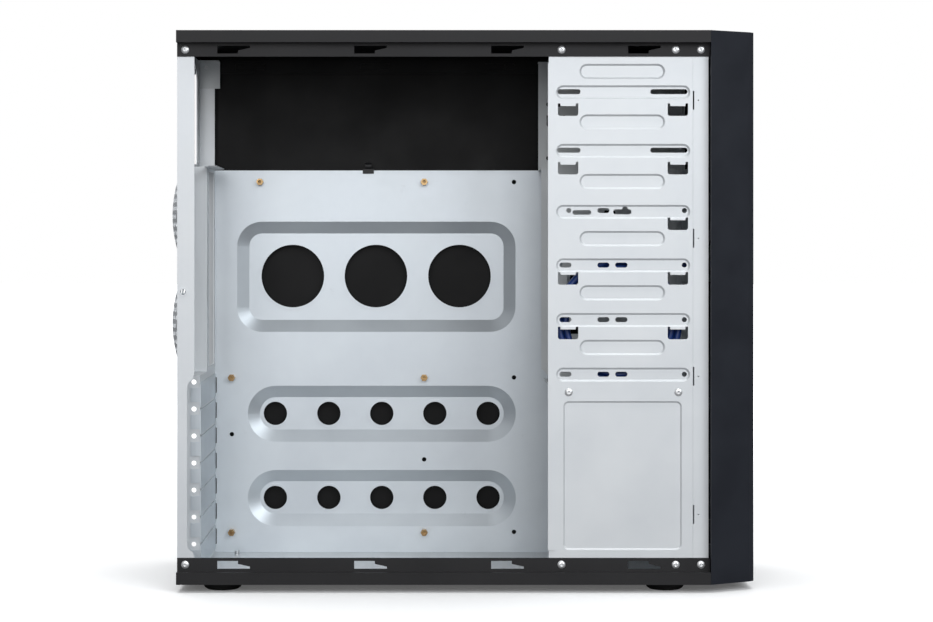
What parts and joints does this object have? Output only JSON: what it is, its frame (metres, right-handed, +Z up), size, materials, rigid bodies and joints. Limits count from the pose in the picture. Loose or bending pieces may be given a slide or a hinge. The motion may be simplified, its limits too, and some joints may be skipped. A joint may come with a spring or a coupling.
{
  "type": "desktop computer tower",
  "caption": "Mid-tower computer case, open on the left: steel frame with recessed motherboard tray, stepped drive cage, slot covers, domed rear fan grilles, sliding side panel and sloped bezel.",
  "frame": {"origin": "bottom centre of the case's box, on the plane its feet stand on", "axes": "+X towards the front bezel, +Y towards the closed right side, +Z up"},
  "size_m": [0.435, 0.18, 0.4124],
  "materials": {
    "black_steel": "satin black powder coat",
    "zinc_steel": "bright zinc-plated sheet, nearly white",
    "tray_steel": "zinc-plated sheet, slightly blue",
    "cage_steel": "zinc-plated sheet in shade",
    "bright_rivet": "bright pop rivets",
    "screw_steel": "nickel-plated screws",
    "brass": "turned brass",
    "black_rubber": "matt black rubber",
    "bezel_plastic": "fine-textured blue-black ABS",
    "button_plastic": "grey gloss ABS",
    "black_plastic": "black nylon",
    "circuit_board": "green solder mask",
    "port_shell": "nickel-plated shell",
    "clear_plastic": "clear acrylic",
    "white_plastic": "off-white nylon",
    "blue_cable": "blue PVC jacket"
  },
  "bodies": {
    "chassis": {"top_cover": "black_steel", "bottom_cover": "black_steel", "rear_panel": "zinc_steel", "slot_tub": "zinc_steel", "floor_plate": "zinc_steel", "cage_side_plate": "zinc_steel", "front_panel": "zinc_steel", "motherboard_tray": "tray_steel", "slot_cover_1": "tray_steel", "slot_cover_2": "tray_steel", "slot_cover_3": "tray_steel", "slot_cover_4": "tray_steel", "slot_cover_5": "tray_steel", "slot_cover_6": "tray_steel", "slot_cover_7": "tray_steel", "cage_upper_wall": "cage_steel", "cage_lower_wall": "cage_steel", "cage_shelf": "cage_steel", "corner_bracket": "cage_steel", "cage_rivets": "bright_rivet", "near_rivets": "bright_rivet", "far_rivets": "bright_rivet", "foot_screws": "screw_steel", "io_screws": "screw_steel", "standoffs": "brass", "foot_rear_left": "black_rubber", "foot_rear_right": "black_rubber", "foot_front_left": "black_rubber", "foot_front_right": "black_rubber", "cable_grommet": "black_rubber", "front_bezel": "bezel_plastic", "cable_clip": "black_plastic", "power_switch": "black_plastic", "reset_switch": "black_plastic", "audio_jacks": "black_plastic", "cable_tie": "black_plastic", "header_plug": "black_plastic", "io_board": "circuit_board", "usb_ports": "port_shell", "status_leds": "clear_plastic", "light_pipes": "clear_plastic", "io_header": "white_plastic", "cable_lead": "blue_cable", "cable_coil": "blue_cable", "cable_tail": "blue_cable"},
    "panel": {"side_panel": "black_steel", "lock_dish": "black_plastic"},
    "lock_screw": {"thumbscrew": "screw_steel"},
    "cover_upper": {"bay_cover_upper": "bezel_plastic"},
    "cover_middle": {"bay_cover_middle": "bezel_plastic"},
    "cover_lower": {"bay_cover_lower": "bezel_plastic"},
    "power": {"power_button": "button_plastic"},
    "reset": {"reset_button": "button_plastic"}
  },
  "joints": [
    {"name": "panel_slide", "type": "slide", "parent": "chassis", "child": "panel", "axis": [-1, 0, 0], "range_m": [0, 0.0125]},
    {"name": "lock_screw_turn", "type": "hinge", "parent": "chassis", "child": "lock_screw", "pos_m": [-0.2051, 0.086, 0.2204], "axis": [0, 1, 0], "continuous": true},
    {"name": "cover_upper_pull", "type": "slide", "parent": "chassis", "child": "cover_upper", "axis": [1, 0, 0], "range_m": [0, 0.03]},
    {"name": "cover_middle_pull", "type": "slide", "parent": "chassis", "child": "cover_middle", "axis": [1, 0, 0], "range_m": [0, 0.03]},
    {"name": "cover_lower_pull", "type": "slide", "parent": "chassis", "child": "cover_lower", "axis": [1, 0, 0], "range_m": [0, 0.03]},
    {"name": "power_press", "type": "slide", "parent": "chassis", "child": "power", "axis": [-1, 0, 0], "range_m": [0, 0.002], "stiffness_N_per_m": 300},
    {"name": "reset_press", "type": "slide", "parent": "chassis", "child": "reset", "axis": [-1, 0, 0], "range_m": [0, 0.002], "stiffness_N_per_m": 300}
  ]
}
